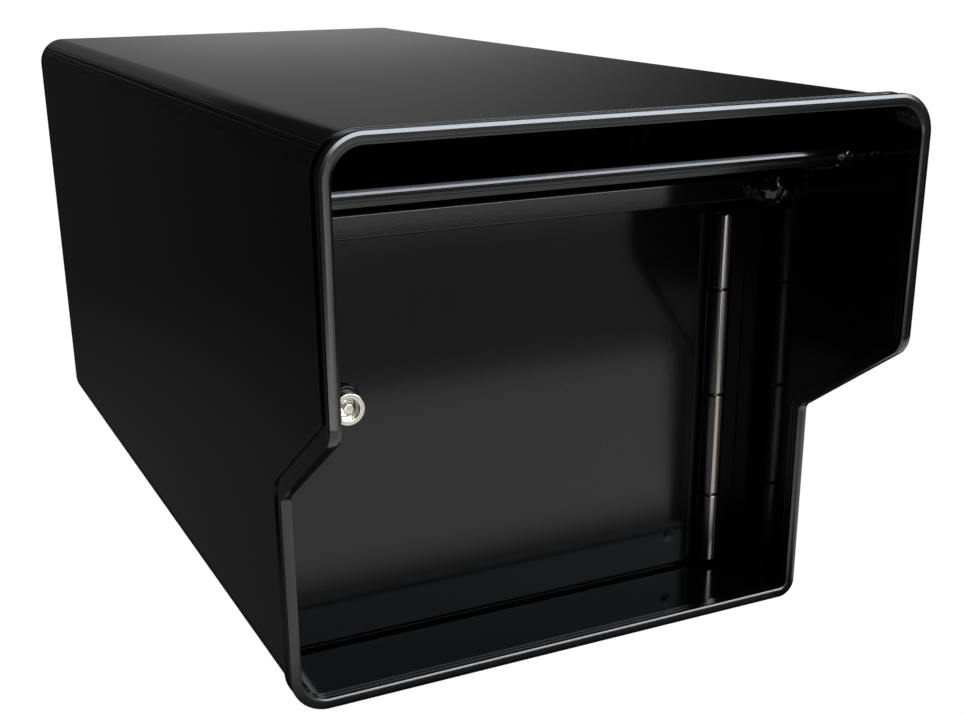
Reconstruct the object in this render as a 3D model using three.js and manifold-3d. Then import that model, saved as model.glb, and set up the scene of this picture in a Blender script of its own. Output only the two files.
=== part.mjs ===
// Payment drop box: a bent steel housing with a hooded mouth, a deposit slot over a sloping lip and a
// lockable lower door on a barrel hinge.
// Millimetres. +X is to the right seen from the front, +Y to the back, +Z up, and the mouth faces -Y.
// While it is built, y = 0 is the front edge of the hood's sheet and z = 0 the underside of the floor.
// The finished group is then moved so that its origin is at the middle of the base.
import * as THREE from "three";
import { mergeVertices } from "three/addons/utils/BufferGeometryUtils.js";
import Module from "manifold-3d";

const wasm = await Module();
wasm.setup();

// Clearance between separate pieces that touch each other
const fitGap = 0.3;

// Housing: one sheet bent at three long corners and welded at the fourth, lower right
const boxWidth = 305;
const boxHeight = 292;
const boxDepth = 645;
const housingSheet = 2.7;
const bendRadius = 18;
const weldedCornerRadius = 8;
const weldedCornerInside = 0.8;
const hoodReach = 75;
const hoodSideHeight = 123;
const sideStepHeight = 52;
const hoodCornerRadius = 11;
const stepCornerRadius = 8;
const boltHoleRadius = 5.5;
const floorHoleSpacingX = 200;
const floorHoleFront = 210;
const floorHoleSpacingY = 350;

// Back panel: a shallow pan set into the rear end
const backInset = 1;
const backFlange = 15;
const backHoleSpacingX = 200;
const backHoleSpacingZ = 150;

// U-section trim on the front edge of the housing
const trimLeg = 1.6;
const trimLegDepth = 9;
const trimNose = 2.5;

// Deposit lip: sloping sheet with a rolled front edge
const slotHeight = 28;
const lipSetback = 40;
const lipNoseRadius = 3;
const lipSheet = 1.9;
const lipSlope = THREE.MathUtils.degToRad(13.6);
const lipDepth = 110;
const lipWeldRadius = 3.2;
const lipWeldLength = 46;

// Baffle that keeps a hand or tool from the deposits
const baffleSheet = 1.5;
const baffleFlange = 20;
const baffleThroat = 15;
const baffleRun = 26;
const baffleDrop = 80;

// Cross strip over the door
const frameSheet = 2.5;
const headerSetback = 106;
const headerFace = 13.4;
const headerLipGap = 1.2;
const headerRamp = 22;
const headerStop = 14;
const headerWeldRadius = 8;
const headerWeldSpill = 2;

// Lower door
const doorSetback = 127.5;
const doorThickness = 3;
const doorTopGap = 1.6;
const doorTrimClearance = 0.8;
const doorSideGap = 2.8;
const doorReveal = 6.3;
const stiffenerSheet = 1.8;
const stiffenerWidth = 34;
const stiffenerFlange = 14;
const stiffenerDepth = 12;
const stiffenerEndGap = 25;

// Barrel hinge with four knuckles, the top one on the housing
const barrelRadius = 7;
const pinRadius = 4;
const hingeInset = 21;
const hingeLeaf = 2.5;
const hingeLeafWidth = 40;
const hingeFloorGap = 3.3;
const hingeTopInset = 8.4;
const knuckleGap = 1.2;
const endKnuckle = 42.2;
const leafRelief = 0.6;

// Door frame
const strikeWidth = 16.5;
const hingeJambWidth = 16.5;
const hingeJambDepth = 25;
const sillHeight = 15;
const sillDepth = 18;
const bumperSize = 10;
const bumperEndDistance = 38;

// Tubular cam lock
const lockInset = 46.7;
const lockHeight = 132;
const lockRingRadius = 8.8;
const lockRingThickness = 3.1;
const lockRingChamfer = 0.7;
const lockBodyRadius = 7.8;
const lockFlat = 0.8;
const lockBodyLength = 19.1;
const keywayRadius = 5.6;
const keywayDepth = 7;
const keyPostRadius = 2.9;
const keyPostRecess = 0.8;
const keyNotchWidth = 1.8;
const keyNotchAngle = THREE.MathUtils.degToRad(217);
const collarThickness = 3;
const collarRadius = 7.5;
const collarRise = 6;
const lockWasherRadius = 11.5;
const lockWasherThickness = 1;
const lockNutFlats = 24;
const lockNutThickness = 4;
const camStudSide = 6.4;
const camThickness = 2.5;
const camWidth = 14;
const camOverlap = 11;
const camStrikeClearance = 0.6;
const stopWasherRadius = 9;
const stopWasherThickness = 1;
const stopTabReach = 2;
const camScrewRadius = 2;
const camScrewHead = 4.2;
const camScrewHeadHeight = 3;
const camScrewWasherRadius = 6;
const camScrewWasherThickness = 1;
const camScrewDepth = 9;

// Positions that follow from the sizes above
const wallOutside = boxWidth / 2;
const wallInside = wallOutside - housingSheet;
const floorTop = housingSheet;
const ceiling = boxHeight - housingSheet;
const hoodCornerZ = boxHeight - hoodSideHeight;
const stepCornerZ = hoodCornerZ - sideStepHeight;
const pieceEnd = wallInside - fitGap;

const lipNoseY = lipSetback + lipNoseRadius;
const lipNoseZ = ceiling - slotHeight - lipNoseRadius;
const lipFall = Math.tan(lipSlope);
const lipCentreZ = (y) => lipNoseZ - (y - lipNoseY) * lipFall;
const lipRearY = lipSetback + lipDepth;

const headerTop = lipCentreZ(headerSetback) - lipSheet / 2 / Math.cos(lipSlope) - headerLipGap;
const headerBottom = headerTop - headerFace;

const doorBack = doorSetback + doorThickness;
const doorTop = headerBottom - doorTopGap;
const doorBottom = floorTop + fitGap + trimLeg + doorTrimClearance;
const doorLeft = -wallInside + doorSideGap;
const doorCornerRadius = bendRadius - housingSheet - doorSideGap;

const leafFront = doorBack + fitGap;
const leafBack = leafFront + hingeLeaf;
const hingeX = wallInside - hingeInset;
const hingeY = leafBack - barrelRadius;
const hingeBottom = floorTop + hingeFloorGap;
const hingeTop = doorTop - hingeTopInset;
const doorRight = hingeX - barrelRadius - doorReveal;

const frameFront = leafBack + fitGap;
const frameBack = frameFront + frameSheet;
const frameTop = headerBottom - headerStop - fitGap;
const frameBottom = floorTop + fitGap;
const strikeEdgeX = -pieceEnd + strikeWidth;
const hingeJambEdgeX = pieceEnd - hingeJambWidth;

const lockX = doorLeft + lockInset;
const lockZ = doorBottom + lockHeight;
const collarFront = doorSetback - fitGap - collarThickness;
const ringBack = collarFront - fitGap;
const ringFront = ringBack - lockRingThickness;
const lockRear = ringBack + lockBodyLength;
const stopWasherFront = lockRear + fitGap;
const camFront = stopWasherFront + stopWasherThickness + fitGap;
const camBack = camFront + camThickness;
const camStudEnd = camBack + fitGap;
const camScrewWasherFront = camStudEnd + fitGap;
const camScrewHeadFront = camScrewWasherFront + camScrewWasherThickness + fitGap;
const camReach = lockX - strikeEdgeX + camOverlap;
const strikeBack = camFront - camStrikeClearance;

// Finishes
const powderCoat = new THREE.MeshStandardMaterial({ color: 0x141416, roughness: 0.42, metalness: 0.1 });
const trimVinyl = new THREE.MeshStandardMaterial({ color: 0x0c0c0d, roughness: 0.5, metalness: 0 });
const hingeSteel = new THREE.MeshStandardMaterial({ color: 0x1f1d1b, roughness: 0.32, metalness: 0.6 });
const nickel = new THREE.MeshStandardMaterial({ color: 0xd9d4ca, roughness: 0.2, metalness: 1 });
const zincPlate = new THREE.MeshStandardMaterial({ color: 0xb4b4b0, roughness: 0.35, metalness: 1 });
const blackNylon = new THREE.MeshStandardMaterial({ color: 0x080808, roughness: 0.25, metalness: 0 });
const bumperRubber = new THREE.MeshStandardMaterial({ color: 0x1b1b1b, roughness: 0.85, metalness: 0 });

// A closed geometry as a solid that can be joined and cut
function solidOf(geometry) {
  const bare = new THREE.BufferGeometry().setAttribute("position", geometry.getAttribute("position"));
  if (geometry.index) bare.setIndex(geometry.index);
  const merged = mergeVertices(bare, 1e-4);
  return new wasm.Manifold(
    new wasm.Mesh({
      numProp: 3,
      vertProperties: new Float32Array(merged.getAttribute("position").array),
      triVerts: new Uint32Array(merged.index.array),
    }),
  );
}

function geometryOf(solid) {
  const mesh = solid.getMesh();
  return new THREE.BufferGeometry()
    .setAttribute("position", new THREE.BufferAttribute(mesh.vertProperties, 3))
    .setIndex(new THREE.BufferAttribute(mesh.triVerts, 1));
}

function joined(first, ...others) {
  return others.reduce((whole, piece) => whole.add(piece), first);
}

function cutFrom(whole, ...tools) {
  return tools.reduce((left, tool) => left.subtract(tool), whole);
}

// Extrusions of an outline: along X of (y, z) points, along Y of (x, z) points, along Z of (x, y) points
const acrossX = new THREE.Matrix4().set(0, 0, 1, 0, 1, 0, 0, 0, 0, 1, 0, 0, 0, 0, 0, 1);

function extrusion(outline, length, holes = []) {
  const shape = new THREE.Shape(outline);
  shape.holes = holes.map((hole) => new THREE.Path(hole));
  return new THREE.ExtrudeGeometry(shape, { depth: length, bevelEnabled: false, curveSegments: 1 });
}

function alongX(outline, from, to) {
  return extrusion(outline, to - from).applyMatrix4(acrossX).translate(from, 0, 0);
}

function alongY(outline, from, to, holes) {
  return extrusion(outline, to - from, holes).rotateX(Math.PI / 2).translate(0, to, 0);
}

function alongZ(outline, from, to, holes) {
  return extrusion(outline, to - from, holes).translate(0, 0, from);
}

function point(u, v) {
  return new THREE.Vector2(u, v);
}

function rectangle(left, right, low, high) {
  return [point(left, low), point(right, low), point(right, high), point(left, high)];
}

function circle(u, v, radius, sides = 32, turn = 0) {
  return Array.from({ length: sides }, (_, i) => {
    const angle = turn + (i / sides) * Math.PI * 2;
    return point(u + radius * Math.cos(angle), v + radius * Math.sin(angle));
  });
}

function box(x0, x1, y0, y1, z0, z1) {
  return solidOf(new THREE.BoxGeometry(x1 - x0, y1 - y0, z1 - z0).translate((x0 + x1) / 2, (y0 + y1) / 2, (z0 + z1) / 2));
}

// The arc that rounds a corner between two neighbours
function cornerArc(before, corner, after, radius, steps) {
  const inward = before.clone().sub(corner).normalize();
  const onward = after.clone().sub(corner).normalize();
  const halfAngle = Math.acos(inward.dot(onward)) / 2;
  const centre = inward.clone().add(onward).normalize();
  centre.multiplyScalar(radius / Math.sin(halfAngle)).add(corner);
  const start = inward.multiplyScalar(radius / Math.tan(halfAngle)).add(corner).sub(centre);
  const end = onward.multiplyScalar(radius / Math.tan(halfAngle)).add(corner).sub(centre);
  const sweep = Math.atan2(start.cross(end), start.dot(end));
  return Array.from({ length: steps + 1 }, (_, i) =>
    start.clone().rotateAround(point(0, 0), (sweep * i) / steps).add(centre),
  );
}

// A line of [u, v, radius] corners with each radius rounded
function roundedLine(corners, steps = 5) {
  const points = corners.map(([u, v]) => point(u, v));
  return points.flatMap((p, i) =>
    corners[i][2] ? cornerArc(points[i - 1], p, points[i + 1], corners[i][2], steps) : [p],
  );
}

// A closed outline of [u, v, radius] corners with each radius rounded
function roundedOutline(corners, steps = 8) {
  const points = corners.map(([u, v]) => point(u, v));
  const count = points.length;
  return points.flatMap((p, i) =>
    cornerArc(points[(i + count - 1) % count], p, points[(i + 1) % count], corners[i][2], steps),
  );
}

// Outline of a bent sheet, from the line along the middle of its thickness
function sheetOutline(corners, thickness, bend = thickness) {
  const last = corners.length - 1;
  const line = roundedLine(corners.map(([u, v], i) => [u, v, i && i < last ? bend : 0]), 3);
  const side = (sign) =>
    line.map((p, i) => {
      const back = line[Math.max(i - 1, 0)];
      const ahead = line[Math.min(i + 1, line.length - 1)];
      const arriving = (i ? p.clone().sub(back) : ahead.clone().sub(p)).normalize();
      const leaving = (ahead === p ? arriving.clone() : ahead.clone().sub(p)).normalize();
      const mean = arriving.add(leaving).normalize();
      const spread = thickness / 2 / Math.max(mean.dot(leaving), 0.2);
      return point(p.x - sign * mean.y * spread, p.y + sign * mean.x * spread);
    });
  return [...side(-1), ...side(1).reverse()];
}

// A solid turned round an axis parallel to Y, from a closed (radius, y) profile
function turned(x, z, profile, sides = 40) {
  return solidOf(
    new THREE.LatheGeometry([...profile, profile[0]].map(([radius, y]) => point(radius, y)), sides).translate(x, 0, z),
  );
}

const dropBox = new THREE.Group();

function addPart(name, shape, material) {
  const geometry = shape.isBufferGeometry ? shape : geometryOf(shape);
  const mesh = new THREE.Mesh(geometry, material);
  mesh.name = name;
  dropBox.add(mesh);
}

// Front edge of the housing seen from the side: (y, z) points from the floor up to the hood's top
function frontEdge() {
  return roundedLine([
    [hoodReach, 0, 0],
    [hoodReach, stepCornerZ, stepCornerRadius],
    [0, hoodCornerZ, hoodCornerRadius],
    [0, boxHeight, 0],
  ]);
}

// Cross-section of the housing's outer or inner face, inset from the outside
function housingOutline(inset, weldedRadius) {
  const side = wallOutside - inset;
  const top = boxHeight - inset;
  const bend = bendRadius - inset;
  return roundedOutline([
    [-side, inset, bend],
    [side, inset, weldedRadius],
    [side, top, bend],
    [-side, top, bend],
  ]);
}

// The space inside the housing, less the clearance to its walls
function insideHousing() {
  return solidOf(alongY(housingOutline(housingSheet + fitGap, weldedCornerInside), 0, boxDepth));
}

function boltHoles(spacingU, lowV, spacingV) {
  return [-spacingU / 2, spacingU / 2].flatMap((u) =>
    [lowV, lowV + spacingV].map((v) => circle(u, v, boltHoleRadius, 24)),
  );
}

function housingShell() {
  const wrapper = solidOf(
    alongY(housingOutline(0, weldedCornerRadius), 0, boxDepth, [housingOutline(housingSheet, weldedCornerInside)]),
  );
  const beyond = wallOutside + 10;
  const removed = [point(-10, -10), point(hoodReach, -10), ...frontEdge(), point(0, boxHeight + 10), point(-10, boxHeight + 10)];
  const frontCut = solidOf(alongX(removed, -beyond, beyond));
  const holes = boltHoles(floorHoleSpacingX, floorHoleFront, floorHoleSpacingY).map((hole) =>
    solidOf(alongZ(hole, -housingSheet, 2 * housingSheet)),
  );
  addPart("housing_shell", cutFrom(wrapper, frontCut, ...holes), powderCoat);
}

function backPanel() {
  const rear = boxDepth - backInset;
  const edge = housingSheet + fitGap;
  const pan = solidOf(alongY(housingOutline(edge, weldedCornerInside), rear - housingSheet - backFlange, rear));
  const hollow = solidOf(
    alongY(housingOutline(edge + housingSheet, weldedCornerInside), rear - 2 * housingSheet - backFlange, rear - housingSheet),
  );
  const holes = boltHoles(backHoleSpacingX, (boxHeight - backHoleSpacingZ) / 2, backHoleSpacingZ).map((hole) =>
    solidOf(alongY(hole, rear - 2 * housingSheet, rear + housingSheet)),
  );
  addPart("back_panel", cutFrom(pan, hollow, ...holes), powderCoat);
}

// Section of the trim: across the sheet's thickness, and forward from the sheet's edge
function trimSection() {
  const slot = housingSheet / 2 + fitGap;
  const outside = slot + trimLeg;
  const nose = Array.from({ length: 7 }, (_, i) => {
    const angle = (i / 6) * Math.PI;
    return point(outside * Math.cos(angle), (fitGap + trimNose) * Math.sin(angle));
  });
  return [
    point(outside, -trimLegDepth),
    ...nose,
    point(-outside, -trimLegDepth),
    point(-slot, -trimLegDepth),
    point(-slot, fitGap),
    point(slot, fitGap),
    point(slot, -trimLegDepth),
  ];
}

// Stations round the mouth, on the middle of the sheet at its front edge: where the edge is, the direction
// out of the sheet's face and the direction forward from the edge
function trimStations() {
  const middle = housingSheet / 2;
  const side = wallOutside - middle;
  const edge = frontEdge();
  const walls = edge.filter((p, i) => i && i < edge.length - 1);
  const forwardAt = (p) => {
    const i = edge.indexOf(p);
    const along = edge[i + 1].clone().sub(p).normalize().add(p.clone().sub(edge[i - 1]).normalize()).normalize();
    return new THREE.Vector3(0, -along.y, along.x);
  };
  const wall = (sign, p) => ({
    at: new THREE.Vector3(sign * side, p.x, p.y),
    out: new THREE.Vector3(sign, 0, 0),
    forward: forwardAt(p),
  });
  const corner = (sign, y, radius, low, steps) => {
    const centreX = sign * (wallOutside - radius);
    const centreZ = low ? radius : boxHeight - radius;
    return Array.from({ length: steps + 1 }, (_, i) => {
      const angle = (i / steps) * (Math.PI / 2);
      const out = new THREE.Vector3(sign * Math.sin(angle), 0, low ? -Math.cos(angle) : Math.cos(angle));
      const at = out.clone().multiplyScalar(radius - middle).add(new THREE.Vector3(centreX, y, centreZ));
      return { at, out, forward: new THREE.Vector3(0, -1, 0) };
    });
  };
  return [
    ...corner(1, hoodReach, weldedCornerRadius, true, 6),
    ...walls.map((p) => wall(1, p)),
    ...corner(1, 0, bendRadius, false, 8).reverse(),
    ...corner(-1, 0, bendRadius, false, 8),
    ...walls.map((p) => wall(-1, p)).reverse(),
    ...corner(-1, hoodReach, bendRadius, true, 8).reverse(),
  ];
}

function mouthEdgeTrim() {
  const section = trimSection();
  const stations = trimStations();
  const positions = stations.flatMap(({ at, out, forward }) =>
    section.flatMap((p) => at.clone().addScaledVector(out, p.x).addScaledVector(forward, p.y).toArray()),
  );
  const round = section.length;
  const indices = stations.flatMap((_, i) => {
    const here = i * round;
    const next = ((i + 1) % stations.length) * round;
    return section.flatMap((__, j) => {
      const k = (j + 1) % round;
      return [here + j, next + k, here + k, here + j, next + j, next + k];
    });
  });
  const geometry = new THREE.BufferGeometry()
    .setAttribute("position", new THREE.BufferAttribute(new Float32Array(positions), 3))
    .setIndex(indices);
  addPart("mouth_edge_trim", geometry, trimVinyl);
}

function depositLip() {
  const rear = [lipRearY, lipCentreZ(lipRearY), 0];
  const sheet = solidOf(alongX(sheetOutline([[lipNoseY, lipNoseZ, 0], rear], lipSheet), -pieceEnd, pieceEnd));
  const nose = solidOf(alongX(circle(lipNoseY, lipNoseZ, lipNoseRadius, 20), -pieceEnd, pieceEnd));
  const bead = (sign) => {
    const run = new THREE.CylinderGeometry(lipWeldRadius, lipWeldRadius, lipWeldLength, 10).rotateX(-lipSlope);
    const middleY = lipNoseY + lipWeldLength / 2;
    return solidOf(run.translate(sign * pieceEnd, middleY, lipCentreZ(middleY)));
  };
  addPart("deposit_lip", joined(sheet, nose, bead(-1), bead(1)).intersect(insideHousing()), powderCoat);
}

function fishingBaffle() {
  const flangeZ = ceiling - fitGap - baffleSheet / 2;
  const frontY = lipRearY + baffleThroat;
  const bendY = frontY + baffleFlange;
  const outline = sheetOutline(
    [
      [frontY, flangeZ],
      [bendY, flangeZ],
      [bendY + baffleRun, flangeZ - baffleDrop],
    ],
    baffleSheet,
  );
  const plate = solidOf(alongX(outline, -pieceEnd, pieceEnd));
  addPart("fishing_baffle", plate.intersect(insideHousing()), powderCoat);
}

// The weld at the header's right-hand end is a lump in the corner. The left-hand end is flush, because the
// free edge of the door swings past it.
function doorHeader() {
  const half = frameSheet / 2;
  const frontY = headerSetback + half;
  const rampZ = (y) => headerTop - half / Math.cos(lipSlope) - (y - headerSetback) * lipFall;
  const outline = sheetOutline(
    [
      [frameFront + half, headerBottom - headerStop],
      [frameFront + half, headerBottom + half],
      [frontY, headerBottom + half],
      [frontY, rampZ(frontY)],
      [headerSetback + headerRamp, rampZ(headerSetback + headerRamp)],
    ],
    frameSheet,
    half + 0.2,
  );
  const strip = solidOf(alongX(outline, -pieceEnd, pieceEnd));
  const weld = solidOf(
    new THREE.SphereGeometry(headerWeldRadius, 14, 10)
      .scale(1, 1, (headerFace / 2 + headerWeldSpill) / headerWeldRadius)
      .translate(pieceEnd, headerSetback, (headerTop + headerBottom) / 2),
  );
  const underLip = (y) => lipCentreZ(y) - lipSheet / 2 / Math.cos(lipSlope) - fitGap;
  const lipSide = [point(0, underLip(0)), point(lipRearY, underLip(lipRearY)), point(lipRearY, boxHeight), point(0, boxHeight)];
  const lipSpace = solidOf(alongX(lipSide, -wallOutside, wallOutside));
  addPart("door_header", cutFrom(joined(strip, weld).intersect(insideHousing()), lipSpace), powderCoat);
}

function strikeJamb() {
  const half = frameSheet / 2;
  const outline = sheetOutline(
    [
      [-pieceEnd + half, strikeBack],
      [-pieceEnd + half, frameFront + half],
      [strikeEdgeX - half, frameFront + half],
      [strikeEdgeX - half, strikeBack],
    ],
    frameSheet,
  );
  const channel = solidOf(alongZ(outline, frameBottom, frameTop));
  addPart("strike_jamb", channel.intersect(insideHousing()), powderCoat);
}

function hingeJamb() {
  const half = frameSheet / 2;
  const outline = sheetOutline(
    [
      [hingeJambEdgeX, frameFront + half],
      [pieceEnd - half, frameFront + half],
      [pieceEnd - half, frameFront + hingeJambDepth],
    ],
    frameSheet,
  );
  addPart("hinge_jamb", alongZ(outline, frameBottom, frameTop), powderCoat);
}

function doorSill() {
  const half = frameSheet / 2;
  const outline = sheetOutline(
    [
      [frameFront + half, frameBottom + sillHeight],
      [frameFront + half, frameBottom + half],
      [frameFront + sillDepth, frameBottom + half],
    ],
    frameSheet,
  );
  addPart("door_sill", alongX(outline, strikeEdgeX + fitGap, hingeJambEdgeX - fitGap), powderCoat);
}

function doorBumpers() {
  const middleX = (strikeEdgeX - pieceEnd) / 2;
  const left = middleX - bumperSize / 2;
  const right = middleX + bumperSize / 2;
  const pad = (name, z) =>
    addPart(name, alongZ(rectangle(left, right, leafFront, leafBack), z - bumperSize / 2, z + bumperSize / 2), bumperRubber);
  pad("door_bumper_upper", frameTop - bumperEndDistance);
  pad("door_bumper_lower", frameBottom + bumperEndDistance);
}

// Heights of the four knuckles, from the top down
function knuckles() {
  const long = (hingeTop - hingeBottom - 2 * endKnuckle - 3 * knuckleGap) / 2;
  const spans = [];
  let top = hingeTop;
  for (const length of [endKnuckle, long, long, endKnuckle]) {
    spans.push({ low: top - length, high: top });
    top -= length + knuckleGap;
  }
  return spans;
}

// One leaf: a plate tangent to the back of the barrel, its own knuckles and notches for the other leaf's
function hingeLeafPart(name, plateFrom, plateTo, own, others) {
  const bore = circle(hingeX, hingeY, pinRadius + fitGap, 24);
  const plate = solidOf(alongZ(rectangle(plateFrom, plateTo, leafFront, leafBack), hingeBottom, hingeTop));
  const barrels = own.map(({ low, high }) => solidOf(alongZ(circle(hingeX, hingeY, barrelRadius, 40), low, high)));
  const relief = barrelRadius + leafRelief;
  const notches = others.map(({ low, high }) =>
    solidOf(alongZ(rectangle(hingeX - relief, hingeX + relief, hingeY, leafBack + 1), low - knuckleGap, high + knuckleGap)),
  );
  const pinHole = solidOf(alongZ(bore, hingeBottom - 1, hingeTop + 1));
  addPart(name, cutFrom(joined(cutFrom(plate, ...notches), ...barrels), pinHole), hingeSteel);
}

function hinge() {
  const [first, second, third, fourth] = knuckles();
  hingeLeafPart("frame_hinge_leaf", hingeX, pieceEnd, [first, third], [second, fourth]);
  hingeLeafPart("door_hinge_leaf", hingeX - hingeLeafWidth, hingeX, [second, fourth], [first, third]);
  addPart("hinge_pin", alongZ(circle(hingeX, hingeY, pinRadius, 24), hingeBottom, hingeTop), zincPlate);
}

// The lock's round hole with two flats that stop it turning
function lockHole(clearance) {
  const flat = lockBodyRadius - lockFlat + clearance;
  return circle(lockX, lockZ, lockBodyRadius + clearance, 40).map((p) =>
    point(p.x, THREE.MathUtils.clamp(p.y, lockZ - flat, lockZ + flat)),
  );
}

function doorPanel() {
  const [foot, ...rest] = rectangle(doorLeft, doorRight, doorBottom, doorTop);
  const outline = [...cornerArc(rest[2], foot, rest[0], doorCornerRadius, 6), ...rest];
  addPart("door_panel", alongY(outline, doorSetback, doorBack, [lockHole(fitGap)]), powderCoat);
}

function doorStiffener() {
  const middleX = (doorLeft + doorRight) / 2;
  const foot = doorBack + fitGap + stiffenerSheet / 2;
  const crown = foot + stiffenerDepth;
  const half = stiffenerWidth / 2;
  const outline = sheetOutline(
    [
      [middleX - half - stiffenerFlange, foot],
      [middleX - half, foot],
      [middleX - half, crown],
      [middleX + half, crown],
      [middleX + half, foot],
      [middleX + half + stiffenerFlange, foot],
    ],
    stiffenerSheet,
  );
  const low = frameBottom + sillHeight + stiffenerEndGap;
  const high = headerBottom - headerStop - stiffenerEndGap;
  addPart("door_stiffener", alongZ(outline, low, high), powderCoat);
}

function lockHousing() {
  const ringEdge = lockRingRadius - lockRingChamfer;
  const whole = turned(lockX, lockZ, [
    [keywayRadius, ringFront],
    [ringEdge, ringFront],
    [lockRingRadius, ringFront + lockRingChamfer],
    [lockRingRadius, ringBack],
    [lockBodyRadius, ringBack],
    [lockBodyRadius, lockRear],
    [keywayRadius, lockRear],
  ]);
  const flat = lockBodyRadius - lockFlat;
  const flats = [-1, 1].map((sign) => {
    const z0 = lockZ + sign * flat;
    const z1 = lockZ + sign * (lockRingRadius + 1);
    return box(lockX - 20, lockX + 20, ringBack, lockRear + 1, Math.min(z0, z1), Math.max(z0, z1));
  });
  const notch = solidOf(
    new THREE.BoxGeometry(keyNotchWidth, keywayDepth, keyNotchWidth)
      .rotateY(-keyNotchAngle)
      .translate(
        lockX + keywayRadius * Math.cos(keyNotchAngle),
        ringFront,
        lockZ + keywayRadius * Math.sin(keyNotchAngle),
      ),
  );
  addPart("lock_housing", cutFrom(whole, ...flats, notch), nickel);
}

// Black moulding under the lock's ring, with a round lobe above the lock
function lockCollar() {
  const eye = solidOf(alongY(circle(lockX, lockZ, lockRingRadius, 40), collarFront, collarFront + collarThickness));
  const lobe = solidOf(
    alongY(circle(lockX, lockZ + collarRise, collarRadius, 40), collarFront, collarFront + collarThickness),
  );
  const hole = solidOf(alongY(lockHole(fitGap), collarFront - 1, doorSetback));
  addPart("lock_collar", cutFrom(joined(eye, lobe), hole), blackNylon);
}

function lockFixings() {
  const hole = circle(lockX, lockZ, lockBodyRadius + fitGap, 32);
  const washerBack = leafFront + lockWasherThickness;
  addPart("lock_washer", alongY(circle(lockX, lockZ, lockWasherRadius, 32), leafFront, washerBack, [hole]), zincPlate);
  const nutCorner = lockNutFlats / 2 / Math.cos(Math.PI / 6);
  const nutFront = washerBack + fitGap;
  const hexagon = circle(lockX, lockZ, nutCorner, 6);
  addPart("lock_nut", alongY(hexagon, nutFront, nutFront + lockNutThickness, [hole]), zincPlate);
}

function squareHole(clearance) {
  const half = camStudSide / 2 + clearance;
  return rectangle(lockX - half, lockX + half, lockZ - half, lockZ + half);
}

function lockPlug() {
  const post = solidOf(alongY(circle(lockX, lockZ, keyPostRadius, 24), ringFront + keyPostRecess, ringFront + keywayDepth + 1));
  const core = solidOf(alongY(circle(lockX, lockZ, keywayRadius - fitGap, 32), ringFront + keywayDepth, lockRear));
  const stud = solidOf(alongY(squareHole(0), lockRear - 1, camStudEnd));
  const screwHole = solidOf(
    alongY(circle(lockX, lockZ, camScrewRadius + fitGap, 16), camStudEnd - camScrewDepth - fitGap, camStudEnd + 1),
  );
  addPart("lock_plug", cutFrom(joined(post, core, stud), screwHole), nickel);
}

function lockCam() {
  const half = camWidth / 2;
  const arm = roundedOutline(
    [
      [lockX - half, lockZ - camReach, half / 2],
      [lockX + half, lockZ - camReach, half / 2],
      [lockX + half, lockZ + half, half - 0.5],
      [lockX - half, lockZ + half, half - 0.5],
    ],
    5,
  );
  addPart("lock_cam", alongY(arm, camFront, camBack, [squareHole(fitGap)]), zincPlate);
}

function camFixings() {
  const round = solidOf(
    alongY(circle(lockX, lockZ, stopWasherRadius, 32), stopWasherFront, stopWasherFront + stopWasherThickness),
  );
  const tab = box(
    lockX - 2 * stopTabReach,
    lockX + 2 * stopTabReach,
    stopWasherFront,
    stopWasherFront + stopWasherThickness,
    lockZ,
    lockZ + stopWasherRadius + stopTabReach,
  );
  const hole = solidOf(alongY(squareHole(fitGap), stopWasherFront - 1, camFront));
  addPart("cam_stop_washer", cutFrom(joined(round, tab), hole), zincPlate);

  const washerHole = circle(lockX, lockZ, camScrewRadius + fitGap, 16);
  const washerBack = camScrewWasherFront + camScrewWasherThickness;
  const disc = circle(lockX, lockZ, camScrewWasherRadius, 24);
  addPart("cam_screw_washer", alongY(disc, camScrewWasherFront, washerBack, [washerHole]), zincPlate);

  const shank = solidOf(alongY(circle(lockX, lockZ, camScrewRadius, 16), camStudEnd - camScrewDepth, camScrewHeadFront + 1));
  const head = solidOf(
    alongY(circle(lockX, lockZ, camScrewHead, 6), camScrewHeadFront, camScrewHeadFront + camScrewHeadHeight),
  );
  addPart("cam_screw", joined(shank, head), zincPlate);
}

housingShell();
backPanel();
mouthEdgeTrim();
depositLip();
fishingBaffle();
doorHeader();
strikeJamb();
hingeJamb();
doorSill();
doorBumpers();
hinge();
doorPanel();
doorStiffener();
lockHousing();
lockCollar();
lockFixings();
lockPlug();
lockCam();
camFixings();

// The origin goes to the middle of the base: the trim is the lowest and the foremost thing on the box
const trimFront = fitGap + trimNose;
const trimProud = fitGap + trimLeg;
dropBox.position.set(0, -(boxDepth - trimFront) / 2, trimProud);

export default dropBox;
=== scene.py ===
import math

import bmesh
import bpy
from mathutils import Matrix, Vector


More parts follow.
